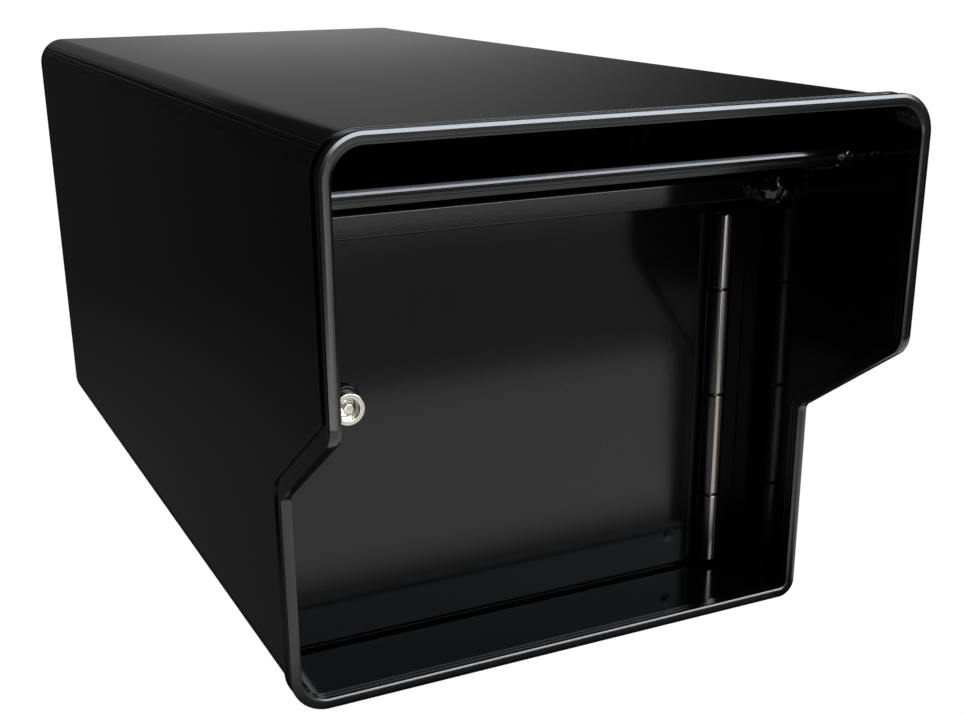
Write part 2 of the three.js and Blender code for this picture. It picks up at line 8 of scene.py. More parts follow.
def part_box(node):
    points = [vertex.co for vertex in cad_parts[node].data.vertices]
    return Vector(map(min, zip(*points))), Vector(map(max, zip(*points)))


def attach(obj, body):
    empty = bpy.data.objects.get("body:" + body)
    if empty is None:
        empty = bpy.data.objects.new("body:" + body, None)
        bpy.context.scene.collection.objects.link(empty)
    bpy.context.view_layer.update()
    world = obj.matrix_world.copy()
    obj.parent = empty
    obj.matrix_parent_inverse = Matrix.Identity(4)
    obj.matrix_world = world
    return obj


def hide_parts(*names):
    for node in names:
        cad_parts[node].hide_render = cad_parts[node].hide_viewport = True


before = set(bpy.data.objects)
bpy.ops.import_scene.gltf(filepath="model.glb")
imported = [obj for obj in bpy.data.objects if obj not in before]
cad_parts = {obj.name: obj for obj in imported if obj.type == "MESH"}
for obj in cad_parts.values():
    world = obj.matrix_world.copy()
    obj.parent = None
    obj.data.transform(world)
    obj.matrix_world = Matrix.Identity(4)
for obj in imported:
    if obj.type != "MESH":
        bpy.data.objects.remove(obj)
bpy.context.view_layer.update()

# Housing shell: one steel sheet, press-braked into floor, left wall, top and right wall, and welded
# along the lower right corner. Its front edge is cut to a stepped outline, so that the top reaches
# further forward as a hood. It is powder coated in a black satin.
mm = 0.001
tiny = 0.02 * mm
shell_low, shell_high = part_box("housing_shell")
shell_sheet = 2.7 * mm
shell_bend = 18 * mm
welded_corner, welded_inside = 8 * mm, 0.8 * mm
bend_steps = 12
floor_front = shell_low.y + 75 * mm
hood_foot = shell_high.z - 123 * mm
step_foot = hood_foot - 52 * mm
hood_corner, step_corner = 11 * mm, 8 * mm
bolt_hole = 5.5 * mm
floor_holes = [(x, shell_low.y + y) for x in (-100 * mm, 100 * mm) for y in (210 * mm, 560 * mm)]


def only(piece=None):
    """Leaves edit mode and selects one piece, or nothing."""
    if bpy.context.mode == "EDIT_MESH":
        bpy.ops.object.mode_set(mode="OBJECT")
    bpy.ops.object.select_all(action="DESELECT")
    if piece:
        piece.select_set(True)
        bpy.context.view_layer.objects.active = piece


def edit(piece):
    only(piece)
    bpy.ops.object.mode_set(mode="EDIT")


def pick(kind, test):
    """Selects the vertices, edges or faces of the piece in edit mode that pass a test."""
    bpy.ops.mesh.select_mode(type=kind)
    bpy.ops.mesh.select_all(action="DESELECT")
    mesh = bmesh.from_edit_mesh(bpy.context.object.data)
    for part in {"VERT": mesh.verts, "EDGE": mesh.edges, "FACE": mesh.faces}[kind]:
        if test(part):
            part.select_set(True)
    mesh.select_flush_mode()
    bmesh.update_edit_mesh(bpy.context.object.data)


def placed(name):
    """Names the primitive just added and puts its place into its mesh."""
    piece = bpy.context.object
    piece.name = piece.data.name = name
    bpy.ops.object.transform_apply(location=True, rotation=True, scale=True)
    return piece


def block(name, low, high):
    only()
    low, high = Vector(low), Vector(high)
    bpy.ops.mesh.primitive_cube_add(size=1, location=(low + high) / 2, scale=high - low)
    return placed(name)


def rod(name, start, end, radius, sides=48):
    only()
    start, end = Vector(start), Vector(end)
    turn = (end - start).to_track_quat("Z", "Y").to_euler()
    bpy.ops.mesh.primitive_cylinder_add(
        vertices=sides, radius=radius, depth=(end - start).length, location=(start + end) / 2, rotation=turn
    )
    return placed(name)


def modify(piece, kind, **settings):
    """Puts a modifier on a piece and applies it."""
    only(piece)
    modifier = piece.modifiers.new(kind.lower(), kind)
    for name, value in settings.items():
        setattr(modifier, name, value)
    bpy.ops.object.modifier_apply(modifier=modifier.name)


def combine(piece, tools, operation="DIFFERENCE"):
    """Cuts a piece with tools, joins them to it or keeps what they share."""
    for tool in tools:
        modify(piece, "BOOLEAN", operation=operation, object=tool, solver="EXACT")
        bpy.data.objects.remove(tool)


def soften(piece, width, steps, angle=50):
    """Rounds the sharp edges of a piece."""
    modify(
        piece, "BEVEL", width=width, segments=steps, limit_method="ANGLE", angle_limit=math.radians(angle),
        miter_outer="MITER_ARC",
    )


def smooth(piece, angle=35):
    """Smooth shading that keeps the flat faces flat."""
    only(piece)
    bpy.ops.object.shade_smooth_by_angle(angle=math.radians(angle))
    modify(piece, "WEIGHTED_NORMAL", keep_sharp=True, weight=80)


def rounded(corners, steps):
    """A line through (point, radius) corners, with an arc at each one that has a radius."""
    points = [Vector(point) for point, _ in corners]
    line = []
    for i, (corner, radius) in enumerate(zip(points, (radius for _, radius in corners))):
        if not radius:
            line.append(corner)
            continue
        back = (points[i - 1] - corner).normalized()
        ahead = (points[(i + 1) % len(points)] - corner).normalized()
        half = back.angle(ahead) / 2
        centre = corner + (back + ahead).normalized() * (radius / math.sin(half))
        start = corner + back * (radius / math.tan(half)) - centre
        axis = start.cross(corner + ahead * (radius / math.tan(half)) - centre).normalized()
        for step in range(steps + 1):
            turn = Matrix.Rotation((math.pi - 2 * half) * step / steps, 3, axis)
            line.append(centre + turn @ start)
    return line


def bent_block(name, low, high, bends):
    """A block whose four long edges are rounded: (radius, steps) at lower left, lower right, upper
    right and upper left."""
    bar = block(name, low, high)
    edit(bar)
    corners = [(low[0], low[2]), (high[0], low[2]), (high[0], high[2]), (low[0], high[2])]
    for (x, z), (radius, steps) in zip(corners, bends):
        pick("EDGE", lambda e: all(abs(v.co.x - x) < tiny and abs(v.co.z - z) < tiny for v in e.verts))
        bpy.ops.mesh.bevel(offset=radius, segments=steps)
    only(bar)
    return bar


front_edge = rounded(
    [
        ((0, floor_front, shell_low.z), 0),
        ((0, floor_front, step_foot), step_corner),
        ((0, shell_low.y, hood_foot), hood_corner),
        ((0, shell_low.y, shell_high.z), 0),
    ],
    bend_steps,
)


def wrapper(name, inset, corner):
    """The outer or inner face of the shell, open at both ends, with its front cut to the outline."""
    low = shell_low + Vector((inset, 0, inset))
    high = shell_high - Vector((inset, 0, inset))
    bend = (shell_bend - inset, bend_steps)
    tube = bent_block(name, low, high, [bend, (corner, bend_steps), bend, bend])
    edit(tube)
    pick("FACE", lambda f: abs(f.normal.y) > 0.9)
    bpy.ops.mesh.delete(type="ONLY_FACE")
    for place in front_edge[1:-1]:
        bpy.ops.mesh.select_all(action="SELECT")
        bpy.ops.mesh.bisect(plane_co=place, plane_no=(0, 0, 1))
    at_front = shell_low.y + tiny
    pick("VERT", lambda v: v.co.y < at_front and v.co.z < front_edge[1].z + tiny)
    bpy.ops.transform.translate(value=(0, floor_front - shell_low.y, 0))
    for place in front_edge[2:-1]:
        pick("VERT", lambda v: v.co.y < at_front and abs(v.co.z - place.z) < tiny)
        bpy.ops.transform.translate(value=(0, place.y - shell_low.y, 0))
    only(tube)
    return tube


housing = wrapper("housing", 0, welded_corner)
lining = wrapper("lining", shell_sheet, welded_inside)
edit(lining)
bpy.ops.mesh.select_all(action="SELECT")
bpy.ops.mesh.flip_normals()
only(lining)
housing.select_set(True)
bpy.context.view_layer.objects.active = housing
bpy.ops.object.join()
edit(housing)
rear = shell_high.y - tiny
pick("EDGE", lambda e: e.is_boundary and e.verts[0].co.y < rear)
bpy.ops.mesh.bridge_edge_loops()
pick("EDGE", lambda e: e.is_boundary and e.verts[0].co.y > rear)
bpy.ops.mesh.bridge_edge_loops()
bpy.ops.mesh.select_all(action="SELECT")
bpy.ops.mesh.normals_make_consistent(inside=False)
combine(
    housing,
    [
        rod("drill", (x, y, shell_low.z - 5 * mm), (x, y, shell_low.z + 5 * mm), bolt_hole, 32)
        for x, y in floor_holes
    ],
)
soften(housing, 0.4 * mm, 2, 60)
seam_x, seam_z = shell_high.x - shell_sheet - 0.3 * mm, shell_low.z + shell_sheet + 0.3 * mm
seam_start, seam_end = floor_front + 5 * mm, floor_front + 58 * mm
seam = rod("corner_seam", (seam_x, seam_start, seam_z), (seam_x, seam_end, seam_z), 0.8 * mm, 16)
only(housing)
seam.select_set(True)
bpy.ops.object.join()
smooth(housing)


class Wire:
    """One output of a material's node, on which sums add Math nodes."""

    def __init__(self, finish, socket):
        self.finish, self.socket = finish, socket

    def __getitem__(self, output):
        return Wire(self.finish, self.socket.node.outputs[output])

    def maths(self, operation, *values):
        return self.finish.maths(operation, *values)

    def __add__(self, other):
        return self.maths("ADD", self, other)

    def __radd__(self, other):
        return self.maths("ADD", other, self)

    def __sub__(self, other):
        return self.maths("SUBTRACT", self, other)

    def __rsub__(self, other):
        return self.maths("SUBTRACT", other, self)

    def __mul__(self, other):
        return self.maths("MULTIPLY", self, other)

    def __rmul__(self, other):
        return self.maths("MULTIPLY", other, self)

    def __abs__(self):
        return self.maths("ABSOLUTE", self)


class Finish:
    """A procedural material: a Principled shader and the nodes that feed it."""

    def __init__(self, name, **constants):
        self.material = bpy.data.materials.new(name)
        self.material.use_nodes = True
        self.tree = self.material.node_tree
        self.shader = self.tree.nodes["Principled BSDF"]
        self.feed(constants)
        self.place = self.node("TexCoord", output="Object")

    def feed(self, sockets, node=None):
        """Sets or links sockets, of the shader unless a node is given."""
        for name, value in sockets.items():
            socket = (node or self.shader).inputs[name]
            if isinstance(value, Wire):
                self.tree.links.new(value.socket, socket)
            else:
                socket.default_value = value

    def node(self, kind, settings={}, sockets={}, output=0):
        """Adds a node: its settings come first, and then the values or links of its sockets."""
        made = self.tree.nodes.new("ShaderNode" + kind)
        for name, value in settings.items():
            setattr(made, name, value)
        self.feed(sockets, made)
        return Wire(self, made.outputs[output])

    def maths(self, operation, *values):
        return self.node("Math", {"operation": operation}, dict(enumerate(values)))

    def noise(self, scale, detail, stretch=None):
        where = self.place
        if stretch:
            where = self.node("Mapping", {}, {"Vector": self.place, "Scale": stretch})
        return self.node("TexNoise", {}, {"Vector": where, "Scale": scale, "Detail": detail})

    def step(self, value, low, high):
        """0 below low and 1 above high, smooth between."""
        return self.node(
            "MapRange", {"interpolation_type": "SMOOTHSTEP"},
            {"Value": value, "From Min": low, "From Max": high},
        )

    def blend(self, factor, first, second):
        """A mix of two colours."""
        return self.node("Mix", {"data_type": "RGBA"}, {0: factor, 6: first, 7: second}, output=2)

    def bump(self, height, distance, strength):
        return self.node("Bump", {}, {"Height": height, "Distance": distance, "Strength": strength})


def grey(value, warm=0.0):
    return (value * (1 + warm), value, value * (1 - warm), 1)


# The powder coat has a fine orange peel, slight changes of gloss where hands and packing rubbed it, and
# a few specks of dust. Along the upper left bend, the press tool left four creases, and the door has one
# shallow dent low on its right.
powder_coat = Finish("black_powder_coat", **{"Specular IOR Level": 0.5})
peel = powder_coat.noise(900.0, 2.0)
rub = powder_coat.noise(11.0, 3.0)
grain = powder_coat.noise(260.0, 3.0)
dust = powder_coat.step(powder_coat.noise(420.0, 1.0), 0.74, 0.80)
dust_field = powder_coat.step(powder_coat.noise(6.0, 2.0), 0.52, 0.66)
split = powder_coat.node("SeparateXYZ", {}, {"Vector": powder_coat.place})
round_bend = powder_coat.maths(
    "ARCTAN2", (shell_low.x + shell_bend) - split["X"], split["Z"] - (shell_high.z - shell_bend)
)
wander = powder_coat.noise(9.0, 2.0, (1, 1, 0.2)) - 0.5
creases = 0
for crease_angle, crease_width, crease_depth in (
    (51, 3.5, 1.0), (42.5, 1.6, 0.5), (61, 1.5, 0.25), (78, 1.3, 0.6),
):
    away = abs(round_bend - math.radians(crease_angle) + 0.05 * wander)
    creases = creases + crease_depth * (1 - powder_coat.step(away, 0.0, math.radians(crease_width)))
dent_place = shell_low + Vector((254.5 * mm, 127.5 * mm, 24.7 * mm))
dent_radius = 5 * mm
from_dent = powder_coat.node(
    "VectorMath", {"operation": "DISTANCE"}, {0: powder_coat.place, 1: dent_place}, output="Value"
)
dent = 1 - powder_coat.step(from_dent, 0.0, dent_radius)
coat_black = powder_coat.blend(rub, grey(0.0014, -0.02), grey(0.0026, 0.02))
powder_coat.feed(
    {
        "Base Color": powder_coat.blend(dust * dust_field * 0.35, coat_black, grey(0.05)),
        "Roughness": 0.065 + 0.04 * rub + 0.03 * grain + 0.5 * creases,
        "Normal": powder_coat.bump(0.02 * peel + 0.03 * grain - creases - 0.6 * dent, 0.0006, 0.7),
    }
)


def fit(piece, finish, body, slot, *nodes):
    """Gives a piece its finish and lets it stand for its CAD nodes on their body."""
    piece.data.materials.clear()
    piece.data.materials.append(finish.material)
    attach(piece, body)
    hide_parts(*nodes)


fit(housing, powder_coat, "housing", "powder_coat", "housing_shell")

# Back panel: a shallow pan of the same sheet, pushed in between the walls and welded round. Four holes
# in it take the bolts that hold the box to a wall.
pan_low, pan_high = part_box("back_panel")
pan_bend = shell_bend - (pan_low.x - shell_low.x)
back_holes = [(x, shell_low.z + z) for x in (-100 * mm, 100 * mm) for z in (71 * mm, 221 * mm)]
back_panel = bent_block(
    "back_pan", pan_low, pan_high,
    [(pan_bend, bend_steps), (welded_inside, 4), (pan_bend, bend_steps), (pan_bend, bend_steps)],
)
edit(back_panel)
pick("FACE", lambda f: f.normal.y < -0.9)
bpy.ops.mesh.delete(type="ONLY_FACE")
modify(back_panel, "SOLIDIFY", thickness=shell_sheet, offset=-1, use_even_offset=True)
combine(
    back_panel,
    [
        rod("drill", (x, pan_high.y - 6 * mm, z), (x, pan_high.y + 2 * mm, z), bolt_hole, 32)
        for x, z in back_holes
    ],
)
soften(back_panel, 0.5 * mm, 2, 60)
smooth(back_panel)
fit(back_panel, powder_coat, "housing", "powder_coat", "back_panel")

# Mouth edge trim: a soft black vinyl U-section, pushed over the cut edge of the sheet all the way
# round the mouth. Its face is nearly flat, with a slight facet beside each corner. The outer leg is
# thinner behind the face and ends in a round bead, and the inner leg is short and plain.
trim_gap = 0.3 * mm
trim_half = shell_sheet / 2 + trim_gap
trim_edge = trim_half + 1.6 * mm
trim_leg = trim_half + 0.6 * mm
trim_depth = 9 * mm
trim_nose = 2.8 * mm
trim_inner_edge = trim_half + 0.8 * mm
trim_bead = 2.0 * mm
trim_inner_depth = 4.5 * mm
wall_middle = shell_high.x - shell_sheet / 2
top_middle = shell_high.z - shell_sheet / 2
floor_middle = shell_low.z + shell_sheet / 2


def drawn(name, points, closed=False):
    """A line of edges: a plane merged to its middle, then extruded from point to point."""
    only()
    bpy.ops.mesh.primitive_plane_add(size=mm, location=points[0])
    line = placed(name)
    edit(line)
    bpy.ops.mesh.select_mode(type="VERT")
    bpy.ops.mesh.select_all(action="SELECT")
    bpy.ops.mesh.merge(type="CENTER")
    for start, end in zip(points, points[1:]):
        bpy.ops.mesh.extrude_vertices_move(TRANSFORM_OT_translate={"value": Vector(end) - Vector(start)})
    if closed:
        ends = (Vector(points[0]), Vector(points[-1]))
        pick("VERT", lambda v: min((v.co - end).length for end in ends) < tiny / 4)
        bpy.ops.mesh.edge_face_add()
    only(line)
    return line


def arc(u, v, radius_u, radius_v, start, end, steps):
    """Points on a part of an ellipse, from one angle in degrees to another."""
    angles = [math.radians(start + (end - start) * i / steps) for i in range(steps + 1)]
    return [(u + radius_u * math.cos(a), v + radius_v * math.sin(a)) for a in angles]


def bow(u, v, radius, start, end, steps):
    """Points on a part of a circle."""
    return arc(u, v, radius, radius, start, end, steps)


bead_front, bead_rear = 0.3 * mm, 0.7 * mm
outer_leg = [
    (trim_edge, 0.4 * mm), (trim_edge - 0.2 * mm, -0.25 * mm), (trim_leg + 0.15 * mm, -0.7 * mm),
    (trim_leg, -1.3 * mm), (trim_leg, trim_bead - trim_depth),
]
outer_leg += bow(trim_edge - bead_front, trim_bead - trim_depth - bead_front, bead_front, 90, 0, 4)
outer_leg += bow(trim_edge - bead_rear, bead_rear - trim_depth, bead_rear, 0, -90, 5)
outer_leg += [(trim_half + 0.3 * mm, -trim_depth), (trim_half, 0.3 * mm - trim_depth)]
inner_leg = [
    (trim_half, -trim_inner_depth), (trim_leg - 0.3 * mm, -trim_inner_depth),
    (trim_leg, 0.3 * mm - trim_inner_depth), (trim_leg, -1.3 * mm),
    (trim_inner_edge - 0.1 * mm, -0.4 * mm), (trim_inner_edge, 0.3 * mm),
]
inner_corner, outer_corner = 0.3 * mm, 0.45 * mm
inner_facet = bow(trim_inner_edge - inner_corner, trim_nose - 0.7 * mm, inner_corner, 0, 68, 4)
inner_facet += [(1.35 * mm, trim_nose - 0.08 * mm), (0.95 * mm, trim_nose)]
outer_facet = [(-1.25 * mm, trim_nose), (-1.45 * mm, trim_nose - 0.02 * mm)]
outer_facet += bow(outer_corner - trim_edge, trim_nose - 0.68 * mm, outer_corner, 98, 180, 6)
trim_section = (
    inner_facet + outer_facet + [(-u, v) for u, v in outer_leg]
    + [(-trim_half, 0), (-trim_half + trim_gap, trim_gap), (trim_half - trim_gap, trim_gap), (trim_half, 0)]
    + inner_leg
)
section = drawn("trim_section", [(u, v, 0) for u, v in trim_section], closed=True)
bpy.ops.object.convert(target="CURVE")
section = bpy.context.object
section.data.splines[0].use_cyclic_u = True
mouth = []
for side, low_bend in ((1, welded_corner), (-1, shell_bend)):
    half_mouth = [
        ((side * wall_middle, floor_front, floor_middle), low_bend - shell_sheet / 2),
        ((side * wall_middle, floor_front, step_foot), step_corner),
        ((side * wall_middle, shell_low.y, hood_foot), hood_corner),
        ((side * wall_middle, shell_low.y, top_middle), shell_bend - shell_sheet / 2),
    ]
    mouth += half_mouth if side > 0 else half_mouth[::-1]
trim = drawn("mouth_trim", rounded(mouth, 14), closed=True)
bpy.ops.object.convert(target="CURVE")
trim = bpy.context.object
trim.data.splines[0].use_cyclic_u = True
trim.data.twist_mode = "MINIMUM"
trim.data.bevel_mode = "OBJECT"
trim.data.bevel_object = section
trim.data.dimensions = "3D"
for point in trim.data.splines[0].points:
    point.tilt = math.radians(-90)
only(trim)
bpy.ops.object.convert(target="MESH")
trim = bpy.context.object
bpy.data.objects.remove(section)
edit(trim)
bpy.ops.mesh.select_all(action="SELECT")
bpy.ops.mesh.remove_doubles(threshold=0.002 * mm)
bpy.ops.mesh.normals_make_consistent(inside=False)
smooth(trim, 50)

trim_vinyl = Finish("black_trim_vinyl", **{"Specular IOR Level": 0.8})
fine = trim_vinyl.noise(1500.0, 2.0)
handled = trim_vinyl.noise(35.0, 3.0)
trim_vinyl.feed(
    {
        "Base Color": trim_vinyl.blend(handled, grey(0.0025), grey(0.005, 0.02)),
        "Roughness": 0.13 + 0.06 * handled + 0.02 * fine,
        "Normal": trim_vinyl.bump(fine, 0.00002, 0.4),
    }
)
fit(trim, trim_vinyl, "housing", "edge_trim", "mouth_edge_trim")


# Deposit lip: the sloping sheet under the slot. Its front edge is rolled to a nose with a short hem below
# it, and rough welds at each end hold it to the side walls.
def spot(x, y, z):
    """A point given in millimetres from the middle of the hood's front edge, at the floor's underside."""
    return Vector((x * mm, shell_low.y + y * mm, shell_low.z + z * mm))


lip_end = 149.5
lip_nose_y, lip_nose_z = 42.2, 260.5
lip_nose_depth, lip_nose_height = 2.2, 3.3
lip_roll = 0.95
lip_slope = math.radians(13.6)
lip_half = 0.95
lip_hem = 5.1
lip_rear_y = 150


def down_lip(along, off, x=-lip_end):
    """A point so far down the lip's slope from the middle of its nose, and so far off its middle plane."""
    return spot(
        x,
        lip_nose_y + along * math.cos(lip_slope) + off * math.sin(lip_slope),
        lip_nose_z - along * math.sin(lip_slope) + off * math.cos(lip_slope),
    )


def lump(name, start, end, radius, roughness, grain):
    """A rough bead of weld: a sphere drawn out from start to end, with clouded heights."""
    only()
    turn = (end - start).to_track_quat("Y", "Z").to_euler()
    bpy.ops.mesh.primitive_ico_sphere_add(
        subdivisions=5, radius=1, location=(start + end) / 2, rotation=turn,
        scale=(radius, (end - start).length / 2, radius),
    )
    bead = placed(name)
    spatter = bpy.data.textures.new(name, "CLOUDS")
    spatter.noise_scale = grain
    spatter.noise_depth = 2
    modify(bead, "DISPLACE", texture=spatter, strength=roughness, mid_level=0.5)
    modify(bead, "SMOOTH", factor=0.5, iterations=3)
    return bead


def weld_on(piece, bead):
    """Joins a bead of weld to a piece."""
    only(piece)
    bead.select_set(True)
    bpy.ops.object.join()


def press(piece, axis, limit, side=1):
    """Flattens what stands out beyond a limit on an axis."""
    edit(piece)
    pick("VERT", lambda v: side * v.co[axis] > side * limit)
    flat = [float(i != axis) for i in range(3)]
    bpy.ops.transform.resize(value=flat, center_override=(limit, limit, limit))
    only(piece)


lip_length = (lip_rear_y - lip_nose_y) / math.cos(lip_slope)
hem_front, hem_back = 0.6 - lip_nose_depth, 2.6 - lip_nose_depth
lip_nose = arc(-0.75, lip_nose_height - lip_roll, lip_roll, lip_roll, 80, 162, 8) + [(-1.93, 1.72)]
lip_nose += arc(0, 0, lip_nose_depth, lip_nose_height, 166, 226, 10)
hem = [
    (hem_front + 0.2, -2.5), (hem_front, -2.7), (hem_front, 0.35 - lip_hem), (hem_front + 0.35, -lip_hem),
    (hem_back - 0.35, -lip_hem), (hem_back, 0.35 - lip_hem), (hem_back, -0.6),
]
lip_section = [down_lip(lip_length, lip_nose_height - 2 * lip_half), down_lip(lip_length, lip_nose_height)]
lip_section += [spot(-lip_end, lip_nose_y + u, lip_nose_z + v) for u, v in lip_nose + hem]
lip = drawn("deposit_lip", lip_section, closed=True)
edit(lip)
bpy.ops.mesh.select_all(action="SELECT")
bpy.ops.mesh.edge_face_add()
bpy.ops.mesh.extrude_region_move(TRANSFORM_OT_translate={"value": (2 * lip_end * mm, 0, 0)})
bpy.ops.mesh.select_all(action="SELECT")
bpy.ops.mesh.normals_make_consistent(inside=False)
only(lip)
for side in (-1, 1):
    for start, end, radius in (
        ((149.5, 27, 262.5), (149.5, 61, 255.5), 2.8), ((149.5, 42, 258.5), (149.5, 57, 255.5), 4.2),
        ((132, 43, 260), (150, 41, 260), 3.4), ((149.5, 54, 253), (149.5, 96, 246), 2.8),
    ):
        bead = lump(
            "lip_weld", spot(side * start[0], *start[1:]), spot(side * end[0], *end[1:]),
            radius * mm, 2.4 * mm, 4.5 * mm,
        )
        press(bead, 0, side * (lip_end + 0.2) * mm, side)
        weld_on(lip, bead)
smooth(lip)
fit(lip, powder_coat, "housing", "powder_coat", "deposit_lip")

# Anti-fishing baffle: a thin plate welded under the roof by its flange. It slopes down behind the slot,
# so that a hand or a hook can't reach what has dropped in.
baffle_sheet = 1.5
flange_front, flange_z = 165, 288.25


def lean(edge):
    """The direction of an edge."""
    return (edge.verts[0].co - edge.verts[1].co).normalized()


def bent_sheet(name, line, along, thickness, bend):
    """A folded strip: a line through the middle of its thickness is extruded along, rounded at its
    folds and thickened."""
    strip = drawn(name, line)
    edit(strip)
    bpy.ops.mesh.select_mode(type="VERT")
    bpy.ops.mesh.select_all(action="SELECT")
    bpy.ops.mesh.extrude_edges_move(TRANSFORM_OT_translate={"value": along})
    run = Vector(along).normalized()
    pick("EDGE", lambda e: len(e.link_faces) == 2 and abs(lean(e).dot(run)) > 0.99)
    bpy.ops.mesh.bevel(offset=bend * mm, segments=6)
    bpy.ops.mesh.select_all(action="SELECT")
    bpy.ops.mesh.normals_make_consistent(inside=False)
    modify(strip, "SOLIDIFY", thickness=thickness * mm, offset=0, use_even_offset=True)
    soften(strip, 0.25 * mm, 2, 60)
    return strip


def inside_housing():
    """The space inside the shell, less the clearance that welded pieces keep."""
    clear = shell_sheet + 0.3 * mm
    bend = (shell_bend - clear, bend_steps)
    low = shell_low + Vector((clear, 0, clear))
    high = shell_high - Vector((clear, 0, clear))
    return bent_block("inside", low, high, [bend, (welded_inside, 4), bend, bend])


baffle = bent_sheet(
    "anti_fishing_baffle",
    [
        spot(-lip_end, flange_front, flange_z),
        spot(-lip_end, flange_front + 20, flange_z),
        spot(-lip_end, flange_front + 46, flange_z - 80),
    ],
    (2 * lip_end * mm, 0, 0), baffle_sheet, baffle_sheet,
)
combine(baffle, [inside_housing()], "INTERSECT")
smooth(baffle)
fit(baffle, powder_coat, "housing", "powder_coat", "fishing_baffle")

# Door header: the narrow cross strip under the lip. It is folded back at the top to follow the lip and
# down behind the door as a stop. Rough lumps of weld hold its right end to the wall.
frame_sheet = 2.5
header_fold = 0.45
header_front, header_top, header_bottom = 106, 240.88, 227.48
stop_y = 134.85
stop_z = header_bottom - 14
ramp = 22
ramp_z = header_top - frame_sheet / 2 / math.cos(lip_slope)
header = bent_sheet(
    "door_header",
    [
        spot(-lip_end, stop_y, stop_z),
        spot(-lip_end, stop_y, header_bottom + frame_sheet / 2),
        spot(-lip_end, header_front + frame_sheet / 2, header_bottom + frame_sheet / 2),
        spot(-lip_end, header_front + frame_sheet / 2, ramp_z - frame_sheet / 2 * math.tan(lip_slope)),
        spot(-lip_end, header_front + ramp, ramp_z - ramp * math.tan(lip_slope)),
    ],
    (2 * lip_end * mm, 0, 0), frame_sheet, header_fold,
)
header_middle = (header_top + header_bottom) / 2
weld_top = 243.5
for x, y, z, reach, radius in (
    (141, header_front - 2, header_middle + 1, 13, 9.5), (146.5, header_front - 7, header_middle - 1, 8, 6.5),
    (145, header_front - 5, header_bottom + 0.5, 5, 4), (141, header_front - 8, header_top - 1, 6, 4.5),
):
    bead = lump("header_weld", spot(x, y - reach, z), spot(x, y + reach, z), radius * mm, 3.2 * mm, 6.5 * mm)
    press(bead, 0, (lip_end + 0.2) * mm)
    press(bead, 2, shell_low.z + weld_top * mm)
    weld_on(header, bead)
smooth(header)
fit(header, powder_coat, "housing", "powder_coat", "door_header")

# Door frame: two jambs and a sill of folded sheet, welded inside the walls behind the door. The cam
# hooks behind the left jamb, and the right one carries the hinge.
frame_fold = 1.45
jamb_low, jamb_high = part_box("strike_jamb")
jamb_rise = (0, 0, jamb_high.z - jamb_low.z)
jamb_foot = (jamb_low.z - shell_low.z) / mm
strike_back = (jamb_high.y - shell_low.y) / mm
wall_side, strike_side, hinge_side = 148.25, -134.25, 133
hinge_back = 158.6
sill_end, sill_top, sill_foot, sill_back = 132.7, 18, 4.25, 151.6
strike_jamb = bent_sheet(
    "strike_jamb",
    [
        spot(-wall_side, strike_back, jamb_foot),
        spot(-wall_side, stop_y, jamb_foot),
        spot(strike_side, stop_y, jamb_foot),
        spot(strike_side, strike_back, jamb_foot),
    ],
    jamb_rise, frame_sheet, frame_fold,
)
combine(strike_jamb, [inside_housing()], "INTERSECT")
hinge_jamb = bent_sheet(
    "hinge_jamb",
    [
        spot(hinge_side, stop_y, jamb_foot),
        spot(wall_side, stop_y, jamb_foot),
        spot(wall_side, hinge_back, jamb_foot),
    ],
    jamb_rise, frame_sheet, frame_fold,
)
sill = bent_sheet(
    "door_sill",
    [
        spot(-sill_end, stop_y, sill_top),
        spot(-sill_end, stop_y, sill_foot),
        spot(-sill_end, sill_back, sill_foot),
    ],
    (2 * sill_end * mm, 0, 0), frame_sheet, frame_fold,
)
for piece, node in ((strike_jamb, "strike_jamb"), (hinge_jamb, "hinge_jamb"), (sill, "door_sill")):
    smooth(piece)
    fit(piece, powder_coat, "housing", "powder_coat", node)

# Door bumpers: two small pads, cut from black rubber with a dull, crumbly skin and glued to the left
# jamb. The closed door rests on them.
bumper_rubber = Finish("bumper_rubber", **{"Specular IOR Level": 0.3})
crumb = bumper_rubber.noise(700.0, 3.0)
bumper_rubber.feed(
    {
        "Base Color": bumper_rubber.blend(crumb, grey(0.008), grey(0.02)),
        "Roughness": 0.75 + 0.2 * crumb,
        "Normal": bumper_rubber.bump(crumb, 0.00008, 0.6),
    }
)
for name in ("door_bumper_upper", "door_bumper_lower"):
    pad = block(name.replace("door_bumper", "rubber_pad"), *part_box(name))
    soften(pad, 0.6 * mm, 3)
    smooth(pad)
    fit(pad, bumper_rubber, "housing", "rubber", name)

# Door hinge: a steel barrel hinge down the right side, with four knuckles on a pin. The first and third
# knuckles from the top belong to the leaf on the frame, the others to the leaf on the door.
pin_low, pin_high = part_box("hinge_pin")
hinge_x, hinge_y = (pin_low.x + pin_high.x) / 2, (pin_low.y + pin_high.y) / 2
barrel, bore = 7 * mm, 4.3 * mm
leaf_low, leaf_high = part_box("door_hinge_leaf")
leaf_front = leaf_high.y - 2.5 * mm
knuckle_gap = 1.2 * mm
end_knuckle = 42.2 * mm
long_knuckle = (pin_high.z - pin_low.z - 2 * end_knuckle - 3 * knuckle_gap) / 2
notch = barrel + 0.6 * mm
knuckles = []
top = pin_high.z
for length in (end_knuckle, long_knuckle, long_knuckle, end_knuckle):
    knuckles.append((top - length, top))
    top -= length + knuckle_gap


